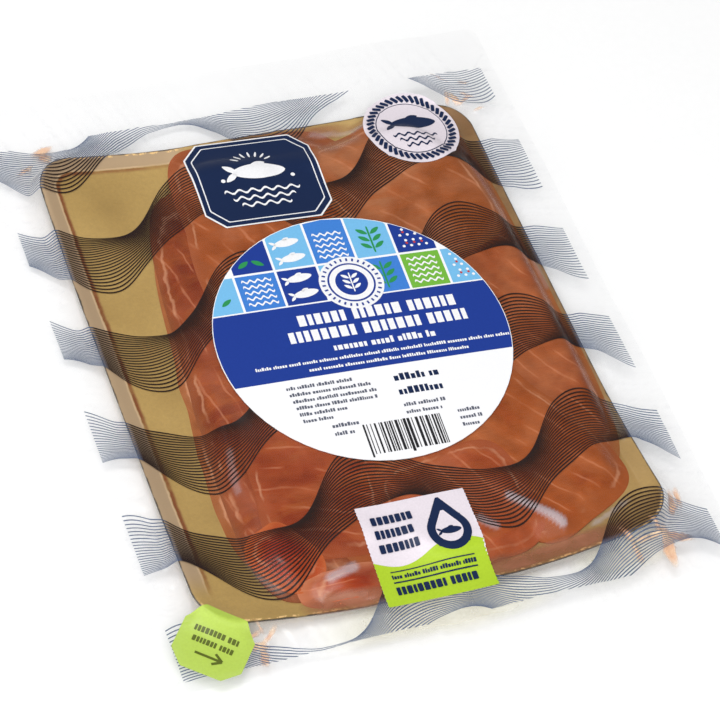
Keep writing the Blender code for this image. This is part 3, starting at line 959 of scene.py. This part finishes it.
def makeSticker():
    place = placeAt(sticker)
    width, height = sticker["width"], sticker["height"]
    draw = Random(11)

    def pinked(x, y):
        # fine teeth down the two sides
        tooth = abs((y / (sticker["tooth"] * mm)) % 1 - 0.5) * 2 * sticker["bite"] * mm
        near = ease(abs(x), (width / 2 - sticker["toothDepth"]) * mm, mm)
        return place(x - np.sign(x) * tooth * near, y)

    size = (width, height)
    fields, ground = makeGround("veiledWhite", size, sidesReach(boxSides(*size)), pinked)
    limeHeight = height / 2 + sticker["limeTop"]
    limeMiddle = -height / 2 + limeHeight / 2

    def waved(x, y):
        # the lime field's upper side is a slow wave
        up = (y - (limeMiddle - limeHeight / 2) * mm) / (limeHeight * mm)
        return pinked(x, y + up * sticker["limeWave"] * mm * np.sin(x / (width * mm) * 2 * math.pi))

    size = (width, limeHeight)
    fields.append(printField(ground, layers[1], inks["lime"], (0, limeMiddle), size,
                             sidesReach(boxSides(*size)), waved, groundSpacing))
    dropX, dropY = sticker["dropX"], sticker["dropY"]
    for layer, ink, share in ((2, "navy", 1.0), (3, "veiledWhite", 0.62)):
        radius = sticker["dropRadius"] * share
        fields.append(printField(ground, layers[layer], inks[ink], (dropX, dropY), (2 * radius,) * 2,
                                 dropReach(radius, radius * sticker["dropHeight"]), place, groundSpacing))
    blocks = []
    for k in range(3):
        blocks += blockLine(-15.5, 12.0 - 5.0 * k, 15.0 - 2 * (k % 2), 3.1, draw, True)
    blocks += blockLine(-14.5, -8.0, 29, 1.5, draw) + blockLine(-14.5, -13.2, 29, 3.0, draw, True)
    rules = [(0, -10.0, 30, 0.5, 0, 20), (0, -6.2, 30, 0.35, 0, 20)]
    fish = fishShapes(dropX + 0.4, dropY - 0.3, 7.4)
    fields += printGroups(ground, layers[4], place, [
        ("navy", blocks, (2, 4)), ("navy", rules, (40, 1)), ("navy", fish, (10, 6))])
    finishPrint("stickerPrint", fields)


# the opening mark in the corner: a lime octagon with an arrow
cornerMark = {"x": -82, "y": -106.5, "width": 23.5, "height": 22.5, "cut": 0.78, "turn": -40}


def makeCornerMark():
    place = placeAt(cornerMark)
    draw = Random(5)
    size = (cornerMark["width"], cornerMark["height"])
    fields, ground = makeGround("veiledLime", size, octagonReach(*size, cornerMark["cut"]), place)
    blocks = blockLine(-7.6, 3.4, 15, 2.0, draw, True) + blockLine(-7.0, -0.2, 14, 2.0, draw, True)
    arrow = [(0, -4.8, 9, 0.9, 0, 20), (3.4, -3.8, 3.6, 0.9, -35, 20), (3.4, -5.8, 3.6, 0.9, 35, 20)]
    fields += printGroups(ground, layers[1], place, [("olive", blocks, (2, 3)), ("olive", arrow, (12, 1))])
    finishPrint("cornerMarkPrint", fields)


makePlaque()
makeStamp()
makeSticker()
makeCornerMark()
print("marks on the film")

# what the vacuum has pressed out under the film: oil in the flange, and juice at the ends of the card
pressedOut = {
    "oilSmears": {
        "dark": (226, 160, 110), "pale": (246, 214, 176), "alpha": 0.9, "wobble": 0.45, "power": 1.8,
        "fade": 450, "grain": 5,
        # x, y, length, width, turn
        "places": [
            (63, -102.5, 10, 3.0, -68), (64.4, -109.4, 11, 2.8, -86), (67.7, -105.4, 9, 2.4, 5),
            (73.4, -104.8, 10, 2.8, 10), (75.5, -110.4, 15, 5.2, -98), (80.4, -107.6, 9, 4.6, -23),
            (83.6, -95, 12, 4.0, -113), (87, -92.5, 9, 3.0, -97), (74, -101.5, 8, 2.4, -62),
            (76.5, 94.6, 7, 2.4, -102), (79, 93, 8, 3.4, -60), (82.5, 91.6, 7, 2.4, 30),
            (85.3, 100, 6, 2.0, -12), (77.2, 104, 13, 1.4, -48), (86, 86, 6, 1.8, 10), (84, 94, 8, 1.8, -40),
            (-68, -110.4, 8, 3.6, -11), (-63.8, -107.8, 10, 2.4, 34), (-67.6, -114.6, 9, 3.6, -98),
            (-66, -104.4, 6, 1.4, -70), (-69, -106.5, 7, 2.2, 20), (-76, 103.6, 9, 3.8, 24),
            (-76, 100.6, 7, 4.2, -60), (-84, 96, 8, 2.6, 31),
        ],
    },
    "oilVeil": {
        "dark": (236, 228, 190), "pale": (244, 240, 214), "alpha": 0.4, "wobble": 0.15, "power": 2.6,
        "fade": 120, "grain": 16,
        "places": [(-8, -114, 92, 17, -1), (58, -110, 40, 14, 8)],
    },
    "juiceBands": {
        "dark": (158, 96, 66), "pale": (176, 114, 86), "alpha": 0.74, "wobble": 0.08, "power": 3.0,
        "fade": 240, "grain": 11,
        "places": [(-33, -102.4, 38, 8, -3), (37, -101.0, 62, 8.4, 3.5), (6, 89.5, 66, 7.5, 0),
                   (47, 88.5, 26, 5, -2)],
    },
}
underFilm = {"gap": 0.07 * mm, "spacing": 0.6 * mm}


def makePressedOut(name):
    look = pressedOut[name]
    material, shader = newMaterial(name + "Look", linear(*look["pale"]), 0.3, Specular_IOR_Level=0.2)
    cloud = noiseAt(objectPlace(shader), look["grain"] * mm, 3, 0.55, 0.6)
    tones = rampOf(cloud, (0.35, linear(*look["dark"])), (0.65, linear(*look["pale"])))
    linkTo(tones, shader, "Base Color")
    # thinner towards its edge and in patches
    inward = product(noteOf(shader, "inward"), look["fade"])
    fading = rampOf(inward, (0.0, 0.0), (0.5, 1.0))
    patchy = rampOf(cloud, (0.3, 0.7), (0.6, 1.0))
    linkTo(product(patchy, look["alpha"], fading), shader, "Alpha")
    pieces = []
    for number, (x, y, length, width, turn) in enumerate(look["places"]):
        size = (length * mm, width * mm)
        outline = looseReach(*size, look["power"], look["wobble"], 40 + number)
        piece = shapeSheet("smear", underFilm["spacing"], (x * mm, y * mm), size, outline, turn, 1.0)
        pieces.append(stick(piece, filmTree, -underFilm["gap"], material))
    finishPiece(joinPieces(name, pieces), "film")


for name in pressedOut:
    makePressedOut(name)
print("oil and juice")

# the round label: white paper, a blue band, tiles above it, small print and bars below it
label = {
    "radius": 51.7, "turn": -3.1, "bandTop": 15.8, "bandBottom": -14.2, "tile": 14.2, "gap": 0.9,
    "rowHeight": 15.2, "margin": 0.4, "spacing": 0.8, "sealX": 2.5, "sealY": 22.5, "sealRadius": 11.5,
    "sealInner": 11.5, "ticks": 30, "bar": 0.33, "barsLeft": -12.0, "barsRight": 17, "share": 0.92,
}
labelSpot = {"x": labelMiddle.x / mm, "y": labelMiddle.y / mm, "turn": label["turn"]}
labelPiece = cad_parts["round_label"]
labelTree = treeOf(labelPiece)
onLabel = placeAt(labelSpot)
labelLayers = [0.04 * mm * (k + 1) for k in range(7)]


def paperMaterial():
    white = linear(253, 253, 255, label["share"])
    material, shader = newMaterial("labelPaper", white, 0.38)
    fibres = noiseAt(objectPlace(shader), 0.5 * mm, 4, 0.6)
    tones = rampOf(fibres, (0.3, linear(250, 250, 253, label["share"])), (0.7, white))
    linkTo(tones, shader, "Base Color")
    linkTo(rampOf(fibres, (0.2, 0.32), (0.8, 0.45)), shader, "Roughness")
    addBump(shader, fibres, 0.02 * mm, 0.3)
    return material


def labelField(left, right, bottom, top, ink):
    # a rectangle on the label, its rows cut short at the label's own circle
    near = label["margin"] + (0 if left < 0 < right else min(abs(left), abs(right)))
    top = min(top, math.sqrt(label["radius"] ** 2 - near**2))
    columns, rows = (round(side / label["spacing"]) for side in (right - left, top - bottom))
    piece = addGrid("field", columns, rows)
    points = readPoints(piece)
    y = bottom + (points[:, 1] + 1) / 2 * (top - bottom)
    reach = np.sqrt(label["radius"] ** 2 - y**2)
    low, high = np.maximum(left, -reach), np.minimum(right, reach)
    points[:, 0] = (low + (points[:, 0] + 1) / 2 * (high - low)) * mm
    points[:, 1] = y * mm
    writePoints(piece, points)
    return stick(piece, labelTree, labelLayers[0], inks[ink], onLabel)


def onLabelOnly(shapes):
    return [shape for shape in shapes if math.hypot(*shape[:2]) + max(shape[2:4]) / 2 < label["radius"]]


def leafShapes(x, y, size):
    # a sprig: a stem and three pairs of leaves
    parts = [(x, y, size * 0.06, size, 0, 6)]
    for k in range(3):
        for side in (-1, 1):
            parts.append((x + side * size * 0.20, y - size * 0.22 + k * size * 0.27, size * 0.38, size * 0.15,
                          side * 35, 1.5))
    return parts


def makeTiles():
    grounds = ["paleBlue", "midBlue", "blue", "paleBlue", "midBlue", "grass", "paleBlue",
               "blue", "paleBlue", "midBlue", "paleBlue", "blue"]
    kinds = ["leaves", "waves", "fish", "berries", "leaves", "waves", "scales",
             "berries", "fish", "waves", "leaves", "scales"]
    step = label["tile"] + label["gap"]
    places = [(column, 0) for column in range(-3, 4)] + [(column, 1) for column in range(-2, 3)]
    drawn = {"white": [], "green": [], "pink": [], "red": []}
    waves, fields = [], []
    for (column, row), ground, kind in zip(places, grounds, kinds):
        x, bottom = column * step, label["bandTop"] + 0.6 + row * (label["rowHeight"] + label["gap"])
        top = bottom + label["rowHeight"] if row == 0 else label["radius"]
        fields.append(labelField(x - label["tile"] / 2, x + label["tile"] / 2, bottom, top, ground))
        y = bottom + label["rowHeight"] / 2
        if kind == "waves":
            waves += [(x, y - 5 + 2.5 * k, 11, 0.8, 0, 20, 0.6, 2) for k in range(5)]
        elif kind == "fish":
            drawn["white"] += fishShapes(x, y + 3.6, 9.5, 8) + fishShapes(x + 0.5, y - 3.4, 9.5, 8)
        elif kind == "leaves":
            drawn["green"] += leafShapes(x, y, 12)
        elif kind == "berries":
            drawn["green"] += [(x, y - 2.5, 0.6, 8, 0, 6), (x - 2.6, y - 3.6, 4.8, 2.0, 32, 1.5),
                               (x + 2.6, y - 3.6, 4.8, 2.0, -32, 1.5)]
            drawn["pink"] += [(x + u, y + v, 2.5, 2.5, 0, 2)
                              for u, v in ((-1.6, 2.2), (1.6, 2.2), (0, 4.6), (0, 0.6))]
        else:
            drawn["white"] += [(x - 4.2 + 2.8 * i + 1.4 * (j % 2), y - 5 + 2.5 * j, 1.1, 1.1, 0, 2)
                               for i in range(4) for j in range(5)]
            drawn["red"] += [(x - 2.8 + 2.8 * i, y - 3.7 + 5 * j, 1.2, 1.2, 0, 1)
                             for i in range(3) for j in range(2)]
    groups = [(ink, onLabelOnly(shapes), (6, 6)) for ink, shapes in drawn.items()]
    groups.append(("white", onLabelOnly(waves), (20, 1)))
    return fields + printGroups(labelTree, labelLayers[1], onLabel, groups)


def makeSeal():
    # a round seal: rings and ticks about a disc with a sprig; each row is layer, ink, shapes and cells
    x, y, radius = label["sealX"], label["sealY"], label["sealRadius"]
    ringWidths = [2 * radius * share for share in (1.0, 0.74, 0.68)]
    outer, ring, inner, disc = ([(x, y, width, width, 0, 2)] for width in (*ringWidths, label["sealInner"]))
    ticks = ringShapes(x, y, radius * 0.87, label["ticks"], 1.3, 0.7, 0, 12)
    fields = []
    for layer, *group in ((2, "white", outer, (20, 20)), (3, "blue", ring, (20, 20)),
                          (4, "white", inner, (20, 20)), (5, "blue", ticks, (1, 1)),
                          (5, "blue", disc, (16, 16)), (6, "white", leafShapes(x, y, 8.5), (6, 6))):
        fields += printGroups(labelTree, labelLayers[layer], onLabel, [group])
    return fields


def makeLettering():
    draw = Random(23)
    white, navy, grey = [], [], []
    for x, y, length, height in ((-21, 9.2, 58, 4.9), (-26, 2.6, 66, 4.9)):
        white += blockLine(x, y, length, height, draw, True)
    white += blockLine(-12, -3.6, 38, 2.9, draw)
    white += blockLine(-41, -8.2, 92, 1.35, draw) + blockLine(-23, -11.4, 58, 1.35, draw)
    for k in range(6):
        grey += blockLine(-33 + 0.4 * k, -17.6 - 2.75 * k, (24, 29, 30, 29, 17, 11)[k], 1.45, draw)
    grey += blockLine(4.5, -31.0, 15, 1.5, draw) + blockLine(4.5, -34.0, 13, 1.5, draw)
    grey += blockLine(-22, -35.0, 9, 1.6, draw) + blockLine(-22, -38.2, 7.5, 1.6, draw)
    for k in range(3):
        grey += blockLine(22, -36.5 - 2.9 * k, (9, 8, 6)[k], 1.5, draw)
    navy += blockLine(4.5, -19.6, 17, 3.0, draw) + blockLine(4.5, -25.4, 16, 3.0, draw)
    # random bars; those at the two ends and in the middle are longer
    left, right = label["barsLeft"], label["barsRight"]
    bars, here = [], left
    while here < right:
        wide = label["bar"] * draw.choice((1, 1, 2, 2, 3))
        guard = here < left + 1 or here > right - 1 or abs(here - (left + right) / 2) < 0.8
        bars.append((here + wide / 2, -43.0 if guard else -42.5, wide, 13.4 if guard else 12.2, 0, 60))
        here += wide + label["bar"] * draw.choice((1, 1, 2, 3))
    drawn = {"white": white, "grey": grey, "navy": navy, "black": bars}
    groups = [(ink, onLabelOnly(blocks), (1, 1)) for ink, blocks in drawn.items()]
    return printGroups(labelTree, labelLayers[1], onLabel, groups)


def makeLabel():
    labelPiece.data.materials.clear()
    labelPiece.data.materials.append(paperMaterial())
    radius = label["radius"]
    pieces = [labelField(-radius, radius, label["bandBottom"], label["bandTop"], "blue")]
    pieces += makeTiles() + makeSeal() + makeLettering()
    finishPiece(joinPieces("labelPrint", pieces), "label_paper")


makeLabel()
print("label")

studio = {
    "floorSize": 5.6, "floorColour": (0.93, 0.93, 0.93), "floorShade": 0.99, "world": 0.34,
    "cameraPlace": (-0.2906, -0.4788, 0.6975), "cameraDown": 51.52, "cameraTurn": 32.13,
    "cameraRoll": 14.86, "lens": 130, "sensor": 36, "nearest": 0.01,
}
softboxes = {
    "left": {"place": (-1.5, -0.7, 1.3), "size": 2.6, "power": 32},
    "front": {"place": (-0.2, -1.7, 1.4), "size": 2.4, "power": 26},
    "above": {"place": (-0.30, 0.26, 1.7), "size": 0.6, "power": 8.5},
}


def makeFloor():
    clearSelection()
    bpy.ops.mesh.primitive_plane_add(size=studio["floorSize"], location=(0, 0, 0))
    floor = bpy.context.object
    floor.name = "studioFloor"
    material, shader = newMaterial("studioPaper", studio["floorColour"], 0.9)
    grain = noiseAt(objectPlace(shader), 3 * mm, 2)
    shade = tuple(c * studio["floorShade"] for c in studio["floorColour"])
    tones = rampOf(grain, (0.3, shade), (0.7, studio["floorColour"]))
    linkTo(tones, shader, "Base Color")
    floor.data.materials.append(material)


def makeLights():
    world = bpy.data.worlds.new("studioWorld")
    bpy.context.scene.world = world
    world.use_nodes = True
    background = world.node_tree.nodes["Background"]
    background.inputs["Color"].default_value = (1, 1, 1, 1)
    background.inputs["Strength"].default_value = studio["world"]
    for name, box in softboxes.items():
        bpy.ops.object.light_add(type="AREA", location=box["place"])
        lamp = bpy.context.object
        lamp.name = "softbox_" + name
        lamp.data.shape = "SQUARE"
        lamp.data.size = box["size"]
        lamp.data.energy = box["power"]
        lamp.rotation_euler = (-Vector(box["place"])).to_track_quat("-Z", "Y").to_euler()


def makeCamera():
    bpy.ops.object.camera_add(location=studio["cameraPlace"])
    camera = bpy.context.object
    camera.name = "photoCamera"
    camera.data.lens = studio["lens"]
    camera.data.sensor_width = studio["sensor"]
    camera.data.clip_start = studio["nearest"]
    aim = Matrix.Rotation(math.radians(-studio["cameraTurn"]), 4, "Z")
    aim = aim @ Matrix.Rotation(math.radians(90 - studio["cameraDown"]), 4, "X")
    aim = aim @ Matrix.Rotation(math.radians(studio["cameraRoll"]), 4, "Z")
    camera.rotation_euler = aim.to_euler()
    bpy.context.scene.camera = camera


makeFloor()
makeLights()
makeCamera()
bpy.context.scene.view_settings.view_transform = "Standard"
print("studio")
